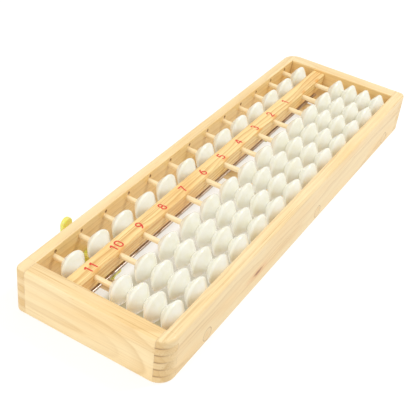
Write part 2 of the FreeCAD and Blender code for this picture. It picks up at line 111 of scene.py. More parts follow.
class Paint:
    """A node material, with short calls for the nodes that the materials share."""

    def __init__(self, name):
        self.material = bpy.data.materials.new(name)
        self.material.use_nodes = True
        self.tree = self.material.node_tree
        self.shader = self.tree.nodes["Principled BSDF"]
        self.place = self.add("ShaderNodeTexCoord").outputs["Object"]

    def feed(self, socket, value):
        if isinstance(value, bpy.types.NodeSocket):
            self.tree.links.new(value, socket)
        else:
            socket.default_value = value

    def add(self, kind, inputs=(), **settings):
        node = self.tree.nodes.new(kind)
        for key, value in settings.items():
            setattr(node, key, value)
        for key, value in dict(inputs).items():
            self.feed(node.inputs[key], value)
        return node

    def surface(self, **inputs):
        """Feeds the shader's sockets, named with underscores for spaces."""
        for key, value in inputs.items():
            self.feed(self.shader.inputs[key.replace("_", " ")], value)

    def math(self, operation, *values, clamp=False):
        node = self.add("ShaderNodeMath", enumerate(values), operation=operation, use_clamp=clamp)
        return node.outputs[0]

    def times(self, a, b):
        return self.math("MULTIPLY", a, b)

    def minus(self, a, b):
        return self.math("SUBTRACT", a, b)

    def away(self, run, rise):
        """The length of (run, rise)."""
        squares = self.math("ADD", self.math("POWER", run, 2.0), self.math("POWER", rise, 2.0))
        return self.math("SQRT", squares)

    def in_mm(self):
        """The object's own coordinates in millimetres."""
        inputs = {0: self.place, "Scale": 1 / MM}
        return self.add("ShaderNodeVectorMath", inputs, operation="SCALE").outputs[0]

    def facing(self, axis):
        """1 on faces that look along an axis either way, 0 on those that look across it."""
        normal = self.add("ShaderNodeTexCoord").outputs["Normal"]
        return self.math("ABSOLUTE", self.split(normal)["XYZ".index(axis)])

    def step(self, value, low, high):
        """0 below low and 1 above high, smooth between. Low above high turns it round."""
        inputs = {"Value": value, "From Min": low, "From Max": high}
        return self.add("ShaderNodeMapRange", inputs, interpolation_type="SMOOTHSTEP").outputs["Result"]

    def split(self, vector):
        return self.add("ShaderNodeSeparateXYZ", {"Vector": vector}).outputs

    def join(self, x, y, z):
        return self.add("ShaderNodeCombineXYZ", {"X": x, "Y": y, "Z": z}).outputs["Vector"]

    def noise(self, place, stretch=(1, 1, 1), shift=0.0, detail=2.0, roughness=0.5):
        """Noise with so many features per millimetre along each axis."""
        inputs = {"Vector": place, "Scale": stretch, "Location": (shift, shift * 1.7, shift * 2.3)}
        moved = self.add("ShaderNodeMapping", inputs).outputs["Vector"]
        inputs = {"Vector": moved, "Scale": 1.0, "Detail": detail, "Roughness": roughness}
        return self.add("ShaderNodeTexNoise", inputs).outputs["Fac"]

    def ramp(self, factor, *stops):
        """A grey ramp through (place, value) stops."""
        node = self.add("ShaderNodeValToRGB", {"Fac": factor})
        elements = node.color_ramp.elements
        while len(elements) < len(stops):
            elements.new(0.5)
        for element, (place, value) in zip(elements, stops):
            element.position = place
            element.color = (value, value, value, 1)
        return node.outputs["Color"]

    def mix(self, factor, a, b, blend="MIX"):
        node = self.add("ShaderNodeMix", data_type="RGBA", blend_type=blend)
        named = {socket.identifier: socket for socket in node.inputs}
        self.feed(named["Factor_Float"], factor)
        self.feed(named["A_Color"], a if isinstance(a, bpy.types.NodeSocket) else (*a, 1))
        self.feed(named["B_Color"], b if isinstance(b, bpy.types.NodeSocket) else (*b, 1))
        return next(s for s in node.outputs if s.identifier == "Result_Color")

    def bump(self, height, strength, distance):
        inputs = {"Height": height, "Strength": strength, "Distance": distance}
        return self.add("ShaderNodeBump", inputs).outputs["Normal"]

    def edges(self, radius):
        """Near 1 on sharp outer edges and 0 on flat faces."""
        soft = self.add("ShaderNodeBevel", {"Radius": radius}, samples=4).outputs["Normal"]
        flat = self.add("ShaderNodeNewGeometry").outputs["Normal"]
        dot = self.add("ShaderNodeVectorMath", {0: soft, 1: flat}, operation="DOT_PRODUCT")
        return self.step(dot.outputs["Value"], 0.995, 0.86)


# Wood

# Features per mm along, across and up the grain
TINT_GRAIN = (0.02, 0.09, 0.09)
STREAK_GRAIN = (0.012, 0.75, 0.75)
HAIR_GRAIN = (0.02, 2.3, 2.3)
PATCH_GRAIN = (0.01, 0.12, 0.12)
FIBRE_GRAIN = (0.09, 3.4, 3.4)
RESIN_GRAIN = (0.14, 3.2, 3.2)
SMUDGE_GRAIN = (0.15, 0.25, 0.25)
WANDER_GRAIN = (0.012, 0.05, 0.05)
RIPPLE_GRAIN = (0.05, 0.22, 0.22)

RING_WANDER = 7.0                # mm, how far a growth ring strays slowly and quickly
RING_RIPPLE = 1.3
STREAK_STRENGTH = 0.7
FIBRE_STRENGTH = 0.16
RESIN_STRENGTH = 0.65
INNER_SHADE_STRENGTH = 0.85
CORNER_STRENGTH = 0.3
END_STRENGTH = {"X": 0.38, "Y": 0.12}   # of end grain, on boards along X and along Y

SEAM_WIDTH = 0.12                # of a joint's flat seam, in finger heights
SEAM_HALO = 0.42
SEAM_FADE = 0.3 * MM
UPRIGHT_WIDTH = 0.2 * MM
UPRIGHT_STRENGTH = 0.22
DOWEL_LINE = 0.45 * MM

KNOT_ALONG = -56.8               # mm from the bottom rail's middle
KNOT_UP = -3.2
KNOT_LENGTH = 7.5
KNOT_HEIGHT = 1.9

ROD_PITCH = 20.0                 # mm
PEEP_SHIFT = 1.1                 # mm, from the rod's axis to the small hole's
PEEP_HEIGHT = 24.0               # mm, above the table
BLUSH_SHIFT = 1.5                # mm, from the rod's axis
BLUSH_LENGTH = 4.0
BLUSH_WIDTH = 1.8


class Board:
    """How one board was cut: which way its grain runs, and where the tree's heart lay.

    The heart is in mm from the board's middle.
    """

    def __init__(self, node, along, colours, heart_up, heart_across, ring, arcs, lines, seed,
                 closing=0.0):
        low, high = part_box(node)
        self.middle = (low + high) / 2 / MM
        self.length = max(high - low) / MM
        self.along = along
        self.colours = colours        # pale, warm and late wood
        self.heart_up = heart_up
        self.heart_across = heart_across
        self.ring = ring              # width of a growth ring
        self.arcs = arcs              # strength of the broad rings
        self.lines = lines            # strength of the fine lines
        self.seed = seed
        self.closing = closing        # how far the heart dips at the low end, to close the arches


def board_place(paint, board):
    """(along, across, up) in mm from the board's middle."""
    inputs = {0: paint.in_mm(), 1: board.middle}
    x, y, z = paint.split(paint.add("ShaderNodeVectorMath", inputs, operation="SUBTRACT").outputs[0])
    return (x, y, z) if board.along == "X" else (y, x, z)


def growth_rings(paint, board, along, across, up):
    """0 in pale early wood, rising to 1 at the end of each year's growth."""
    place = paint.join(along, across, up)
    wander = paint.noise(place, WANDER_GRAIN, board.seed)
    ripple = paint.noise(place, RIPPLE_GRAIN, board.seed + 5)
    dip = paint.step(along, board.length * 0.35, -board.length * 0.52)
    dip = paint.times(paint.math("POWER", dip, 2.5), board.closing)
    side = paint.minus(paint.minus(across, board.heart_across), dip)
    rise = paint.minus(up, board.heart_up)
    radius = paint.math("MULTIPLY_ADD", wander, RING_WANDER, paint.away(side, rise))
    radius = paint.math("MULTIPLY_ADD", ripple, RING_RIPPLE, radius)
    years = paint.math("DIVIDE", radius, board.ring)
    season = paint.math("FRACT", years)
    late = paint.ramp(season, (0.0, 0.0), (0.35, 0.05), (0.72, 0.55), (0.88, 1.0), (1.0, 0.0))
    year = paint.add("ShaderNodeTexWhiteNoise", {"W": paint.math("FLOOR", years)}, noise_dimensions="1D")
    vigour = paint.math("MULTIPLY_ADD", year.outputs["Value"], 0.7, 0.3)
    return paint.times(late, vigour)


def near(paint, value, target, width):
    """1 where value is within width of target, fading to 0."""
    gap = paint.math("ABSOLUTE", paint.minus(value, target))
    return paint.step(gap, width, width * 0.35)


def joint_layers(paint):
    """The finger joint layer a point lies in, its nearest seam, and 0 where that is an outer edge."""
    layer = paint.math("DIVIDE", paint.split(paint.place)[2], FRAME_HEIGHT / FINGERS)
    seam = paint.math("ROUND", layer)
    above = paint.step(seam, 0.4, 0.6)
    below = paint.step(seam, FINGERS - 0.4, FINGERS - 0.6)
    return layer, seam, paint.times(above, below)


def glue_lines(paint):
    """The joints' darker corners, and their seams: flat round a corner, upright where a board ends."""
    x, y, _ = paint.split(paint.place)
    out_x = paint.math("ABSOLUTE", x)
    out_y = paint.math("ABSOLUTE", paint.minus(y, MIDDLE_Y))
    past_x = paint.step(out_x, INNER_X - SEAM_FADE, INNER_X)
    past_y = paint.step(out_y, INNER_Y - SEAM_FADE, INNER_Y)
    corner = paint.times(past_x, past_y)
    layer, seam, between = joint_layers(paint)
    facing = paint.step(paint.facing("X"), 0.15, 0.95)
    flat = paint.times(paint.times(near(paint, layer, seam, SEAM_WIDTH), between), corner)
    flat = paint.times(flat, paint.math("MULTIPLY_ADD", facing, 0.82, 0.18))
    flat = paint.times(flat, paint.step(out_y, HALF_WIDTH + 2.0 * MM, INNER_Y + 0.5 * MM))
    flat = paint.times(flat, paint.step(y, HALF_WIDTH, -HALF_WIDTH))
    halo = paint.times(near(paint, layer, seam, SEAM_HALO), paint.times(corner, facing))
    seam_y = paint.times(near(paint, out_y, INNER_Y, UPRIGHT_WIDTH), past_x)
    seam_x = paint.times(near(paint, out_x, INNER_X, UPRIGHT_WIDTH), past_y)
    rails = paint.math("MODULO", paint.math("FLOOR", layer), 2.0)
    seam_x = paint.times(seam_x, paint.minus(1.0, rails))
    upright = paint.math("MAXIMUM", paint.times(seam_y, rails), seam_x)
    corner = paint.times(corner, paint.math("MULTIPLY_ADD", facing, 0.8, 0.2))
    corner = paint.math("MAXIMUM", corner, paint.times(halo, 1.5))
    return corner, paint.math("MAXIMUM", flat, paint.times(upright, UPRIGHT_STRENGTH))


def dowel_rings(paint):
    """The thin dark line round each dowel's end."""
    x, _, z = paint.split(paint.place)
    low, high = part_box("tie_dowels")
    radius = (high.z - low.z) / 2
    rise = paint.minus(z, (high.z + low.z) / 2)
    line = 0.0
    for centre in dowel_places():
        run = paint.minus(x, centre)
        line = paint.math("MAXIMUM", near(paint, paint.away(run, rise), radius, DOWEL_LINE), line)
    return line


def dowel_places():
    """The X of each tie dowel, from the groups of points in their node."""
    low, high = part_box("tie_dowels")
    diameter = high.z - low.z
    places = []
    for x in sorted(v.co.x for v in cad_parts["tie_dowels"].data.vertices):
        if not places or x > places[-1] + 2 * diameter:
            places.append(x)
    return [x + diameter / 2 for x in places]


def inner_face(paint):
    """1 on the frame's upright faces that look at the beads."""
    x, y, _ = paint.split(paint.place)
    within_x = paint.step(paint.math("ABSOLUTE", x), INNER_X + 0.4 * MM, INNER_X + 0.1 * MM)
    out_y = paint.math("ABSOLUTE", paint.minus(y, MIDDLE_Y))
    within_y = paint.step(out_y, INNER_Y + 0.4 * MM, INNER_Y + 0.1 * MM)
    return paint.times(within_x, within_y)


def grain_colour(paint, board, place, rings, fibre):
    """The wood's own colour: a soft tint, growth rings, streaks, hairs, fibres and resin marks."""
    pale, warm, late = board.colours
    seed = board.seed
    tint = paint.noise(place, TINT_GRAIN, seed + 11, detail=3)
    colour = paint.mix(paint.step(tint, 0.35, 0.75), pale, warm)
    colour = paint.mix(paint.times(rings, board.arcs), colour, late)
    streak = paint.noise(place, STREAK_GRAIN, seed + 21, detail=3, roughness=0.55)
    strength = paint.math("MULTIPLY_ADD", upward(paint), board.lines * 0.7, board.lines * 0.3)
    strength = paint.times(strength, STREAK_STRENGTH)
    colour = paint.mix(paint.times(paint.step(streak, 0.53, 0.70), strength), colour, late)
    hairs = paint.step(paint.noise(place, HAIR_GRAIN, seed + 61), 0.55, 0.63)
    patches = paint.step(paint.noise(place, PATCH_GRAIN, seed + 71, detail=1), 0.45, 0.6)
    hairs = paint.times(hairs, paint.math("MULTIPLY_ADD", patches, 0.75, 0.1))
    colour = paint.mix(paint.times(hairs, board.lines), colour, late)
    colour = paint.mix(paint.times(paint.step(fibre, 0.35, 0.8), FIBRE_STRENGTH), colour, late)
    resin = paint.step(paint.noise(place, RESIN_GRAIN, seed + 41, detail=1), 0.70, 0.78)
    return paint.mix(paint.times(resin, RESIN_STRENGTH), colour, late)


def upward(paint):
    """1 on faces that look up or down, 0 on upright ones."""
    return paint.step(paint.facing("Z"), 0.5, 0.9)


def joint_marks(paint, board, colour, fibre):
    """Darkens the finger joints' corners, and draws their seams and the dowels' outlines."""
    corner, seams = glue_lines(paint)
    corner = paint.times(corner, paint.minus(1.0, upward(paint)))
    colour = paint.mix(paint.times(corner, CORNER_STRENGTH), colour, board.colours[-1])
    seams = paint.math("MAXIMUM", seams, dowel_rings(paint))
    worn = paint.math("MULTIPLY_ADD", fibre, 0.9, 0.35, clamp=True)
    return paint.mix(paint.times(seams, worn), colour, GLUE_AND_SHADE_BROWN, blend="MULTIPLY")


def wood(name, board, marks=(), framed=False):
    """Lacquered softwood. Each of marks adds something drawn on this board only."""
    paint = Paint(name)
    along, across, up = board_place(paint, board)
    place = paint.join(along, across, up)
    rings = growth_rings(paint, board, along, across, up)
    fibre = paint.noise(place, FIBRE_GRAIN, board.seed + 31, detail=3, roughness=0.65)
    colour = grain_colour(paint, board, place, rings, fibre)
    for mark in marks:
        colour = mark(paint, colour, place)
    ends = paint.step(paint.facing(board.along), 0.55, 0.95)
    colour = paint.mix(paint.times(ends, END_STRENGTH[board.along]), colour, board.colours[-1])
    if framed:
        # Painted shade: the frame's inner faces are darkened and warmed.
        inner_shade = paint.times(inner_face(paint), INNER_SHADE_STRENGTH)
        colour = paint.mix(inner_shade, colour, INNER_PAINTED_SHADE, blend="MULTIPLY")
        colour = joint_marks(paint, board, colour, fibre)
    lacquer(paint, board, colour, place, ends, rings, fibre)
    return paint.material


def lacquer(paint, board, colour, place, ends, rings, fibre):
    """Satin lacquer over the wood, paler on the outer edges: partly rubbed wear, partly a painted
    highlight.
    """
    # paler outer edges: partly rubbed wear, partly a painted highlight
    colour = paint.mix(paint.times(paint.edges(0.5 * MM), 0.22), colour, EDGE_WEAR_AND_HIGHLIGHT)
    relief = paint.math("MULTIPLY_ADD", rings, 0.5, fibre)
    smudge = paint.noise(place, SMUDGE_GRAIN, board.seed + 51, detail=3)
    gloss = paint.math("MULTIPLY_ADD", smudge, 0.16, 0.36)
    gloss = paint.math("MULTIPLY_ADD", ends, 0.15, gloss)
    paint.surface(Base_Color=colour, Roughness=gloss, Normal=paint.bump(relief, 0.25, 0.08 * MM))
    paint.surface(Coat_Weight=0.18, Coat_Roughness=0.22, Specular_IOR_Level=0.4)


def knot_mark(paint, colour, place):
    """A small brown streak with a soft halo, on the front face."""
    along, across, up = paint.split(place)
    run = paint.math("DIVIDE", paint.minus(along, KNOT_ALONG), KNOT_LENGTH)
    rise = paint.math("DIVIDE", paint.minus(up, KNOT_UP), KNOT_HEIGHT)
    rag = paint.noise(place, (0.5, 2.0, 2.0), 3.0, detail=3)
    away = paint.math("ADD", paint.away(run, rise), paint.math("MULTIPLY_ADD", rag, 0.9, -0.45))
    front = paint.step(across, 0.0, -1.0)
    halo = paint.times(paint.step(away, 2.2, 0.3), front)
    heart = paint.times(paint.step(away, 0.9, 0.2), front)
    colour = paint.mix(paint.times(halo, 0.6), colour, KNOT_HALO)
    return paint.mix(heart, colour, KNOT_BROWN)


def rod_blushes(paint, colour, place):
    """Orange marks on the beam's front top edge, one above each rod, some strong and some faint."""
    along, across, up = paint.split(place)
    half_width = (BEAM_HIGH.y - BEAM_LOW.y) / 2 / MM
    half_height = (BEAM_HIGH.z - BEAM_LOW.z) / 2 / MM
    rods = paint.math("DIVIDE", along, ROD_PITCH)
    number = paint.math("ROUND", rods)
    run = paint.math("MULTIPLY_ADD", paint.minus(rods, number), ROD_PITCH, -BLUSH_SHIFT)
    run = paint.math("DIVIDE", run, BLUSH_LENGTH)
    rise = paint.math("DIVIDE", paint.minus(up, half_height), BLUSH_WIDTH)
    back = paint.math("DIVIDE", paint.math("ADD", across, half_width), BLUSH_WIDTH)
    away = paint.away(paint.away(rise, back), run)
    rag = paint.noise(place, (0.4, 1.2, 1.2), 6.0, detail=3)
    away = paint.math("ADD", away, paint.minus(rag, 0.5))
    vigour = paint.add("ShaderNodeTexWhiteNoise", {"W": number}, noise_dimensions="1D").outputs["Value"]
    strength = paint.times(paint.step(away, 1.2, 0.2), paint.math("MULTIPLY_ADD", vigour, 0.6, 0.35))
    return paint.mix(strength, colour, BEAM_BLUSH)


def peep_painted_shade(paint, colour, _):
    """Painted shade: a dark ring round the small hole above each rod, on the top rail's inner face."""
    x, _, z = paint.split(paint.in_mm())
    rods = paint.math("DIVIDE", x, ROD_PITCH)
    run = paint.times(paint.minus(rods, paint.math("ROUND", rods)), ROD_PITCH)
    away = paint.away(paint.minus(run, PEEP_SHIFT), paint.minus(z, PEEP_HEIGHT))
    # painted shade round each small hole
    hole_shade = paint.times(paint.step(away, 1.3, 0.7), inner_face(paint))
    return paint.mix(hole_shade, colour, GLUE_AND_SHADE_BROWN, blend="MULTIPLY")


def rod_wood():
    """Smooth pale bamboo with fine lengthwise fibres."""
    paint = Paint("rod_wood")
    fibre = paint.noise(paint.in_mm(), (3.0, 0.05, 3.0), 2.0, detail=3, roughness=0.6)
    tone = paint.noise(paint.in_mm(), (0.06, 0.03, 0.4), 7.0, detail=2)
    colour = paint.mix(paint.times(paint.step(fibre, 0.42, 0.75), 0.5), ROD_PALE, ROD_DARK)
    colour = paint.mix(paint.times(paint.step(tone, 0.4, 0.7), 0.35), colour, PINE_WARM)
    paint.surface(Base_Color=colour, Roughness=paint.math("MULTIPLY_ADD", fibre, 0.2, 0.3))
    paint.surface(Normal=paint.bump(fibre, 0.25, 0.05 * MM), Coat_Weight=0.15)
    return paint.material


def dowel_wood():
    """Hardwood dowel: fibres along the dowel, small pores on its ends."""
    paint = Paint("dowel_wood")
    fibre = paint.noise(paint.in_mm(), (2.2, 0.04, 2.2), 4.0, detail=4, roughness=0.6)
    rings = paint.noise(paint.in_mm(), (0.9, 0.02, 0.35), 9.0, detail=2)
    colour = paint.mix(paint.step(rings, 0.4, 0.65), PINE_PALE, PINE_WARM)
    colour = paint.mix(paint.times(paint.step(fibre, 0.45, 0.75), 0.5), colour, PINE_LATE)
    ends = paint.step(paint.facing("Y"), 0.6, 0.95)
    colour = paint.mix(paint.times(ends, 0.22), colour, PINE_LATE)
    paint.surface(Base_Color=colour, Roughness=0.42, Normal=paint.bump(fibre, 0.3, 0.05 * MM))
    paint.surface(Coat_Weight=0.15, Coat_Roughness=0.25)
    return paint.material


# Plastics, ink and steel

def bead_plastic():
    """Glossy ivory-white moulded plastic with faint flow marks, finger haze and a faint painted glow."""
    paint = Paint("bead_plastic")
    flow = paint.noise(paint.in_mm(), (0.18, 0.3, 0.18), 1.0, detail=3, roughness=0.55)
    haze = paint.noise(paint.in_mm(), (0.9, 0.9, 0.9), 6.0, detail=4, roughness=0.65)
    colour = paint.mix(paint.step(flow, 0.35, 0.75), BEAD_WHITE, BEAD_CREAM)
    gloss = paint.math("MULTIPLY_ADD", haze, 0.16, 0.14)
    paint.surface(Base_Color=colour, Roughness=gloss, Normal=paint.bump(flow, 0.06, 0.2 * MM))
    paint.surface(Subsurface_Weight=0.6, Subsurface_Radius=BEAD_SCATTER, Subsurface_Scale=3.0 * MM)
    paint.surface(Coat_Weight=0.25, Coat_Roughness=0.08, IOR=1.49)
    # painted light: the beads glow faintly, which lifts their shaded sides
    paint.surface(Emission_Color=(*BEAD_PAINTED_GLOW, 1), Emission_Strength=BEAD_PAINTED_GLOW_STRENGTH)
    return paint.material


def yellow_plastic():
    """Slightly translucent yellow moulded plastic with a fine satin texture."""
    paint = Paint("yellow_plastic")
    grain = paint.noise(paint.in_mm(), (6.0, 6.0, 6.0), 3.0, detail=3, roughness=0.6)
    flow = paint.noise(paint.in_mm(), (0.25, 0.25, 0.12), 8.0, detail=2)
    colour = paint.mix(paint.step(flow, 0.35, 0.7), PLASTIC_YELLOW, PLASTIC_OLIVE)
    # paler on the sharp edges
    colour = paint.mix(paint.times(paint.edges(0.4 * MM), 0.4), colour, PLASTIC_PALE_EDGE)
    paint.surface(Base_Color=colour, Roughness=paint.math("MULTIPLY_ADD", grain, 0.2, 0.26))
    paint.surface(Subsurface_Weight=0.6, Subsurface_Radius=YELLOW_SCATTER, Subsurface_Scale=2.0 * MM)
    paint.surface(Transmission_Weight=0.15, IOR=1.49, Normal=paint.bump(grain, 0.12, 0.04 * MM))
    return paint.material


def bright_steel():
    """Drawn bright steel with fine lengthwise scratches and a little dulling, tinted warm brown as a
    painted reflection of a brown tabletop.
    """
    paint = Paint("bright_steel")
    scratch = paint.noise(paint.in_mm(), (0.15, 9.0, 9.0), 5.0, detail=3, roughness=0.7)
    dull = paint.noise(paint.in_mm(), (0.08, 0.6, 0.6), 12.0, detail=3)
    # both steel colours carry a painted brown reflection
    colour = paint.mix(paint.step(dull, 0.4, 0.75), STEEL_BRIGHT_PAINTED_REFLECTION, STEEL_DULL_PAINTED_REFLECTION)
    gloss = paint.math("MULTIPLY_ADD", scratch, 0.22, 0.24)
    paint.surface(Base_Color=colour, Metallic=1.0, Roughness=gloss)
    paint.surface(Normal=paint.bump(scratch, 0.1, 0.02 * MM))
    return paint.material


def red_ink():
    """Printed red ink, thinner in places."""
    paint = Paint("red_ink")
    cover = paint.noise(paint.in_mm(), (0.7, 5.0, 5.0), 2.0, detail=4, roughness=0.7)
    colour = paint.mix(paint.times(paint.step(cover, 0.55, 0.8), 0.5), INK_RED, BEAM_WARM)
    paint.surface(Base_Color=colour, Roughness=paint.math("MULTIPLY_ADD", cover, 0.3, 0.35))
    paint.surface(Normal=paint.bump(cover, 0.2, 0.03 * MM))
    return paint.material


def paint_node(node, material):
    """Gives a CAD node one material."""
    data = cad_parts[node].data
    data.materials.clear()
    data.materials.append(material)


# Meshes

def new_object(name, mesh, material):
    piece = bpy.data.objects.new(name, mesh)
    bpy.context.scene.collection.objects.link(piece)
    mesh.materials.append(material)
    return piece


def arc_points(centre, radius, start, end, count):
    """Points on an arc in the (radius, y) plane. Angles are in degrees from the outward direction."""
    points = []
    for i in range(count + 1):
        angle = math.radians(start + (end - start) * i / count)
        points.append((centre[0] + radius * math.cos(angle), centre[1] + radius * math.sin(angle)))
    return points


BEAD_SEGMENTS = 96
BEAD_FLANK = 38.5                # degrees between the flank and the mid plane
BEAD_BULGE = 0.14 * MM           # how far the flank swells out of a straight cone
BEAD_RIM = 1.2 * MM
BEAD_HUB = 0.9 * MM
BEAD_BORE = 1.62 * MM
PARTING_LINE = 0.03 * MM         # height of the ridge round the rim, and half its width
HUB_STEPS = 5
FLANK_STEPS = 12
RIM_STEPS = 7
RIM_END = 4                      # degrees left for the parting line
SHARP_ANGLE = 40                 # degrees, above which an edge stays sharp


def bead_outline(radius, thickness):
    """One bead's section as (radius, y) points, from one end of the bore round the rim to the other."""
    half = thickness / 2
    flank = math.radians(BEAD_FLANK)
    rim_centre = radius - BEAD_RIM
    touch = (rim_centre + BEAD_RIM * math.sin(flank), BEAD_RIM * math.cos(flank))
    hub_touch_y = half - BEAD_HUB * (1 - math.cos(flank))
    hub_touch_r = touch[0] - (hub_touch_y - touch[1]) / math.tan(flank)
    hub_centre = (hub_touch_r - BEAD_HUB * math.sin(flank), half - BEAD_HUB)
    side = [(BEAD_BORE, half), (hub_centre[0], half)]
    side += arc_points(hub_centre, BEAD_HUB, 90, 90 - BEAD_FLANK, HUB_STEPS)[1:]
    for i in range(1, FLANK_STEPS + 1):
        share = i / FLANK_STEPS
        swell = BEAD_BULGE * math.sin(math.pi * share)
        r = hub_touch_r + (touch[0] - hub_touch_r) * share + swell * math.sin(flank)
        y = hub_touch_y + (touch[1] - hub_touch_y) * share + swell * math.cos(flank)
        side.append((r, y))
    side += arc_points((rim_centre, 0), BEAD_RIM, 90 - BEAD_FLANK, RIM_END, RIM_STEPS)[1:]
    front = side + [(radius + PARTING_LINE, PARTING_LINE)]
    return front + [(r, -y) for r, y in reversed(front)]


def lathe(mesh, outline, centre, segments):
    """Adds a closed ring of outline round the Y axis through centre."""
    rings = []
    for i in range(segments):
        angle = 2 * math.pi * i / segments
        across = Vector((math.cos(angle), 0, math.sin(angle)))
        rings.append([mesh.verts.new(centre + across * r + Vector((0, y, 0))) for r, y in outline])
    count = len(outline)
    for i in range(segments):
        ring, after = rings[i], rings[(i + 1) % segments]
        for j in range(count):
            k = (j + 1) % count
            mesh.faces.new((ring[j], ring[k], after[k], after[j]))


def finish_mesh(mesh, name):
    """Turns a bmesh into a smooth-shaded mesh with its sharp edges kept."""
    bmesh.ops.recalc_face_normals(mesh, faces=mesh.faces)
    data = bpy.data.meshes.new(name)
    mesh.to_mesh(data)
    mesh.free()
    data.shade_smooth()
    data.set_sharp_from_angle(angle=math.radians(SHARP_ANGLE))
    return data


def bead_piece(node, body, count, material):
    """The beads of one node, each a smooth turned form in its CAD bead's place."""
    low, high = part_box(node)
    radius = (high.z - low.z) / 2
    step = (high.y - low.y - BEAD_THICKNESS) / max(count - 1, 1)
    mesh = bmesh.new()
    for i in range(count):
        middle_y = low.y + BEAD_THICKNESS / 2 + i * step
        centre = Vector(((low.x + high.x) / 2, middle_y, (low.z + high.z) / 2))
        lathe(mesh, bead_outline(radius - PARTING_LINE, BEAD_THICKNESS), centre, BEAD_SEGMENTS)
    piece = new_object(f"moulded_{node}", finish_mesh(mesh, node), material)
    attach(piece, body)
    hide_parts(node)


def box_thickness(node):
    low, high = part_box(node)
    return high.y - low.y


BEAD_THICKNESS = box_thickness("upper_bead_01")


def beads(material):
    for number in range(1, RODS + 1):
        for kind, count in (("upper_bead", 1), ("first_lower_bead", 1), ("lower_beads", 3)):
            node = f"{kind}_{number:02d}"
            bead_piece(node, node, count, material)


# The place numbers: plain digits, each a list of strokes on a grid of ten units

def digit_strokes():
    """The strokes of the digits 0 to 9, built from straight lines and round arcs."""
    six = [[(7.0, 9.4), (4.4, 7.6), (2.9, 5.4), (2.4, 3.6)], arc_points((5.0, 3.2), 2.7, 0, 360, 18)]
    return [
        [arc_points((5.0, 6.7), 2.7, 0, 180, 10) + arc_points((5.0, 3.2), 2.7, 180, 360, 10)
         + [(7.7, 6.7)]],
        [[(5.4, 9.5), (5.4, 0.5)], [(3.0, 7.3), (5.4, 9.1)]],
        [arc_points((5.0, 6.8), 2.6, 165, -35, 12) + [(2.2, 0.8)], [(1.9, 0.8), (7.9, 0.8)]],
        [arc_points((4.8, 7.2), 2.2, 150, -90, 12), arc_points((4.8, 3.0), 2.5, 90, -150, 12)],
        [[(6.3, 9.4), (6.3, 0.5)], [(6.1, 9.2), (1.9, 3.1)], [(1.6, 3.1), (8.4, 3.1)]],
        [[(7.4, 9.1), (3.3, 9.1), (2.9, 5.0)], arc_points((4.9, 3.2), 2.7, 135, -150, 14)],
        six,
        [[(2.1, 9.1), (8.1, 9.1)], [(7.7, 9.1), (5.4, 4.6), (4.3, 0.5)]],
        [arc_points((5.0, 7.2), 2.1, 0, 360, 16), arc_points((5.0, 2.8), 2.5, 0, 360, 16)],
        [[(MARK_GRID - x, MARK_GRID - y) for x, y in stroke] for stroke in six],
    ]


PLACES = 11                      # numbered rods, counted down from left to right
MARK_SIZE = 5.2 * MM
MARK_PITCH = 3.9 * MM            # between the two digits of a pair
MARK_SHIFT = Vector((1.5 * MM, -0.4 * MM))   # from the rod's axis and the beam's middle
MARK_STROKE = 0.78 * MM
MARK_HEIGHT = 0.05 * MM
MARK_SINK = 0.02 * MM            # how far the ink sits in the wood
MARK_STEP = 0.1                  # of MARK_HEIGHT, by which each stroke stands above the last
MARK_GRID = 10                   # units of the digits' grid in MARK_SIZE
STROKE_START = 1.08              # width at a stroke's start, as a share of MARK_STROKE
STROKE_TAPER = 0.16              # and how much of it is lost by its end
SHARPEST_TURN = 0.5


def stroke_sides(points, width):
    """The left and right edges of a stroke, mitred at its turns and a little narrower at its end."""
    lefts, rights = [], []
    for i, point in enumerate(points):
        before = points[max(i - 1, 0)]
        after = points[min(i + 1, len(points) - 1)]
        heading = (after - before).normalized()
        side = Vector((-heading.y, heading.x))
        if 0 < i < len(points) - 1:
            turn = (point - before).normalized().dot(heading)
            side = side / max(turn, SHARPEST_TURN)
        half = width / 2 * (STROKE_START - STROKE_TAPER * i / (len(points) - 1))
        lefts.append(point + side * half)
        rights.append(point - side * half)
    return lefts, rights


def add_stroke(mesh, points, width, low_z, high_z):
    """A thin closed prism along a stroke."""
    lefts, rights = stroke_sides(points, width)
    loop = lefts + rights[::-1]
    top = [mesh.verts.new((p.x, p.y, high_z)) for p in loop]
    bottom = [mesh.verts.new((p.x, p.y, low_z)) for p in loop]
    count = len(loop)
    for i in range(len(lefts) - 1):
        quad = (i, i + 1, count - 2 - i, count - 1 - i)
        mesh.faces.new([top[k] for k in quad])
        mesh.faces.new([bottom[k] for k in reversed(quad)])
    for i in range(count):
        k = (i + 1) % count
        mesh.faces.new((top[i], bottom[i], bottom[k], top[k]))


def place_numbers(material):
    """The red numbers on the beam's top, over the first eleven rods."""
    mesh = bmesh.new()
    middle_y = (BEAM_LOW.y + BEAM_HIGH.y) / 2
    digits = digit_strokes()
    for rod in range(1, PLACES + 1):
        low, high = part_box(f"upper_bead_{rod:02d}")
        number = str(PLACES + 1 - rod)
        for i, digit in enumerate(number):
            centre_x = (low.x + high.x) / 2 + (i - (len(number) - 1) / 2) * MARK_PITCH
            corner = Vector((centre_x, middle_y)) + MARK_SHIFT - Vector((MARK_SIZE, MARK_SIZE)) / 2
            for order, stroke in enumerate(digits[int(digit)]):
                points = [corner + Vector(p) * MARK_SIZE / MARK_GRID for p in stroke]
                rise = MARK_HEIGHT * (1 + MARK_STEP * order)
                add_stroke(mesh, points, MARK_STROKE, BEAM_HIGH.z - MARK_SINK, BEAM_HIGH.z + rise)
    piece = new_object("place_numbers", finish_mesh(mesh, "place_numbers"), material)
    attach(piece, "root")


# The return spring

SPRING_TURNS = 4.5
SPRING_END_TURNS = 1.0           # closed turn at each end
SPRING_STEPS = 36                # points to a turn
SPRING_SIDES = 10
SPRING_WIRE = 0.3 * MM


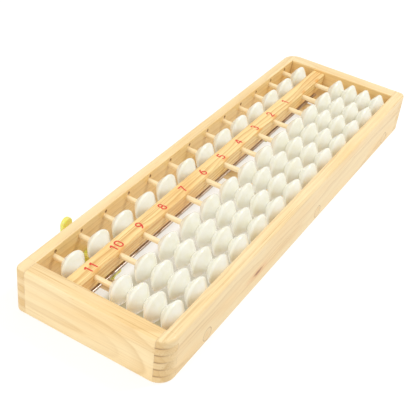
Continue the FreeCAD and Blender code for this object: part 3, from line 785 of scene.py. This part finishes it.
def spring_path(low, high):
    """Points along the coil's wire from its first closed turn to its last."""
    radius = (high.x - low.x) / 2 - SPRING_WIRE
    centre = (low + high) / 2
    start = low.y + SPRING_WIRE
    length = high.y - low.y - 2 * SPRING_WIRE
    closed = 2 * SPRING_WIRE
    points = []
    turns = SPRING_TURNS + 2 * SPRING_END_TURNS
    count = int(turns * SPRING_STEPS)
    for i in range(count + 1):
        turn = turns * i / count
        if turn < SPRING_END_TURNS:
            along = closed * turn / SPRING_END_TURNS
        elif turn > turns - SPRING_END_TURNS:
            along = length - closed * (turns - turn) / SPRING_END_TURNS
        else:
            along = closed + (length - 2 * closed) * (turn - SPRING_END_TURNS) / SPRING_TURNS
        angle = 2 * math.pi * turn
        x = centre.x + radius * math.cos(angle)
        z = centre.z + radius * math.sin(angle)
        points.append(Vector((x, start + along, z)))
    return points


def tube(mesh, points, radius, sides):
    """A round wire along points, closed at both ends."""
    rings = []
    for i, point in enumerate(points):
        heading = points[min(i + 1, len(points) - 1)] - points[max(i - 1, 0)]
        turn = heading.to_track_quat("Z", "Y").to_matrix()
        ring = []
        for k in range(sides):
            angle = 2 * math.pi * k / sides
            out = turn @ Vector((math.cos(angle), math.sin(angle), 0))
            ring.append(mesh.verts.new(point + out * radius))
        rings.append(ring)
    for ring, after in zip(rings, rings[1:]):
        shift = min(range(sides), key=lambda s: (after[s].co - ring[0].co).length)
        for k in range(sides):
            a, b = (k + shift) % sides, (k + 1 + shift) % sides
            mesh.faces.new((ring[k], ring[(k + 1) % sides], after[b], after[a]))
    mesh.faces.new(rings[0])
    mesh.faces.new(rings[-1][::-1])


def return_spring(material):
    """The coil spring round the button's stem, built at its rest length."""
    low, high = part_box("button_spring")
    mesh = bmesh.new()
    tube(mesh, spring_path(low, high), SPRING_WIRE, SPRING_SIDES)
    piece = new_object("return_spring", finish_mesh(mesh, "return_spring"), material)
    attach(piece, "root")
    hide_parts("button_spring")
    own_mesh(piece)


# Stage

WHITE = (1.0, 1.0, 1.0)
FLOOR_GREY = (0.4, 0.4, 0.4, 1)
FLOOR_REACH = 3.0                # metres each way
FLOOR_DROP = 0.2 * MM            # below the abacus's feet
FLOOR_GLOW = 0.55                # light the floor gives off onto the abacus
FLOOR_SEEN_GLOW = 0.66           # and as the camera sees it
SURROUND_GLOW = 0.66
KEY_PLACE = Vector((0.46, -0.46, 0.98))
KEY_SIZE = 0.2
KEY_POWER = 5.6                  # watts
FILL_PLACE = Vector((-0.8, 0.3, 0.55))
FILL_SIZE = 0.6
FILL_POWER = 3.2
SHADE_REACH = 34 * MM
SHADE_DEPTH = 0.72               # under the lower beads
SHADE_LEAST = 0.07               # elsewhere inside the frame
SHADE_FROM = 6 * MM              # where the deep shade starts to fade towards the beam
SHADE_TO = 12 * MM
SHADE_TONE = (1.0, 0.86, 0.30)   # mixed in by the depth of shade


def floor_shade(paint):
    """How much the floor's glow is lost inside the frame, where the beads stand close over it."""
    inputs = {"Distance": SHADE_REACH}
    open_sky = paint.add("ShaderNodeAmbientOcclusion", inputs, samples=8).outputs["AO"]
    deep = paint.step(open_sky, 0.2, 0.85)
    x, y, _ = paint.split(paint.place)
    within_x = paint.step(paint.math("ABSOLUTE", x), INNER_X + 2 * MM, INNER_X)
    out_y = paint.math("ABSOLUTE", paint.minus(y, MIDDLE_Y))
    within = paint.times(within_x, paint.step(out_y, INNER_Y + 2 * MM, INNER_Y))
    lower = paint.step(y, SHADE_TO, SHADE_FROM)
    pool = paint.math("MULTIPLY_ADD", lower, SHADE_DEPTH - SHADE_LEAST, SHADE_LEAST)
    return paint.times(paint.minus(1.0, deep), paint.times(within, pool))


def floor_paint():
    """Pale and glowing, shaded among the beads for the camera only, and clear from below."""
    paint = Paint("floor")
    seen = paint.add("ShaderNodeLightPath").outputs["Is Camera Ray"]
    glow = paint.math("MULTIPLY_ADD", seen, FLOOR_SEEN_GLOW - FLOOR_GLOW, FLOOR_GLOW)
    shade = paint.times(floor_shade(paint), seen)
    glow = paint.times(glow, paint.minus(1.0, shade))
    paint.surface(Base_Color=FLOOR_GREY, Roughness=0.9, Specular_IOR_Level=0.1)
    paint.surface(Emission_Color=paint.mix(shade, WHITE, SHADE_TONE), Emission_Strength=glow)
    from_below = paint.add("ShaderNodeNewGeometry").outputs["Backfacing"]
    paint.surface(Alpha=paint.minus(1.0, from_below))
    return paint.material


def studio():
    """A pale floor, a white surround and two soft lights, the brighter one at the right and front."""
    mesh = bmesh.new()
    bmesh.ops.create_grid(mesh, x_segments=1, y_segments=1, size=FLOOR_REACH)
    data = bpy.data.meshes.new("floor")
    mesh.to_mesh(data)
    mesh.free()
    floor = new_object("floor", data, floor_paint())
    floor.location.z = -FLOOR_DROP
    world = bpy.data.worlds.new("surround")
    world.use_nodes = True
    background = world.node_tree.nodes["Background"].inputs
    background["Color"].default_value = (*WHITE, 1)
    background["Strength"].default_value = SURROUND_GLOW
    bpy.context.scene.world = world
    soft_light("key", KEY_PLACE, KEY_SIZE, KEY_POWER)
    soft_light("fill", FILL_PLACE, FILL_SIZE, FILL_POWER)


def soft_light(name, place, size, power):
    data = bpy.data.lights.new(name, "AREA")
    data.size = size
    data.energy = power
    light = bpy.data.objects.new(name, data)
    light.location = place
    light.rotation_euler = (-place).to_track_quat("-Z", "Y").to_euler()
    bpy.context.scene.collection.objects.link(light)


def camera():
    data = bpy.data.cameras.new("camera")
    data.lens = CAMERA_LENS
    data.clip_start = 0.01
    eye = bpy.data.objects.new("camera", data)
    heading, dip = math.radians(CAMERA_HEADING), math.radians(CAMERA_DIP)
    flat = math.cos(dip)
    forward = Vector((math.sin(heading) * flat, math.cos(heading) * flat, -math.sin(dip)))
    roll = Quaternion((0, 0, 1), math.radians(CAMERA_ROLL))
    eye.rotation_mode = "QUATERNION"
    eye.rotation_quaternion = forward.to_track_quat("-Z", "Y") @ roll
    eye.location = CAMERA_PLACE
    bpy.context.scene.collection.objects.link(eye)
    bpy.context.scene.camera = eye


def boards():
    """The four boards of the frame and the beam, each from its own cut of wood."""
    pine = (PINE_PALE, PINE_WARM, PINE_LATE)
    cuts = {
        "top_rail": Board("top_rail", "X", pine, heart_up=-30, heart_across=18,
                          ring=2.9, arcs=0.4, lines=0.35, seed=3.1),
        "bottom_rail": Board("bottom_rail", "X", pine, heart_up=-14, heart_across=34,
                             ring=2.3, arcs=0.45, lines=0.7, seed=8.4),
        "left_end": Board("left_end", "Y", pine, heart_up=-5, heart_across=-3,
                          ring=6.2, arcs=0.45, lines=0.85, seed=5.7, closing=15),
        "right_end": Board("right_end", "Y", pine, heart_up=-12, heart_across=14,
                           ring=3.1, arcs=0.4, lines=0.3, seed=12.9),
    }
    marks = {"top_rail": [peep_painted_shade], "bottom_rail": [knot_mark]}
    for node, cut in cuts.items():
        paint_node(node, wood(f"pine_{node}", cut, marks.get(node, ()), framed=True))
    cut = Board("beam", "X", (BEAM_PALE, BEAM_WARM, BEAM_LATE), heart_up=-20, heart_across=-16,
                ring=1.9, arcs=0.8, lines=0.8, seed=17.3)
    paint_node("beam", wood("pine_beam", cut, [rod_blushes]))


def build():
    boards()
    paint_node("rods", rod_wood())
    paint_node("tie_dowels", dowel_wood())
    steel = bright_steel()
    for node in ("pivot_screws", "pivot_bushes", "lower_strip_pins", "upper_strip_pins",
                 "lower_clearing_strip", "upper_clearing_strip"):
        paint_node(node, steel)
    yellow = yellow_plastic()
    for node in ("drive_lever", "idler_link", "button_tab", "button_plunger"):
        paint_node(node, yellow)
    beads(bead_plastic())
    place_numbers(red_ink())
    return_spring(steel)


build()
studio()
camera()
bpy.context.scene.view_settings.view_transform = "Standard"
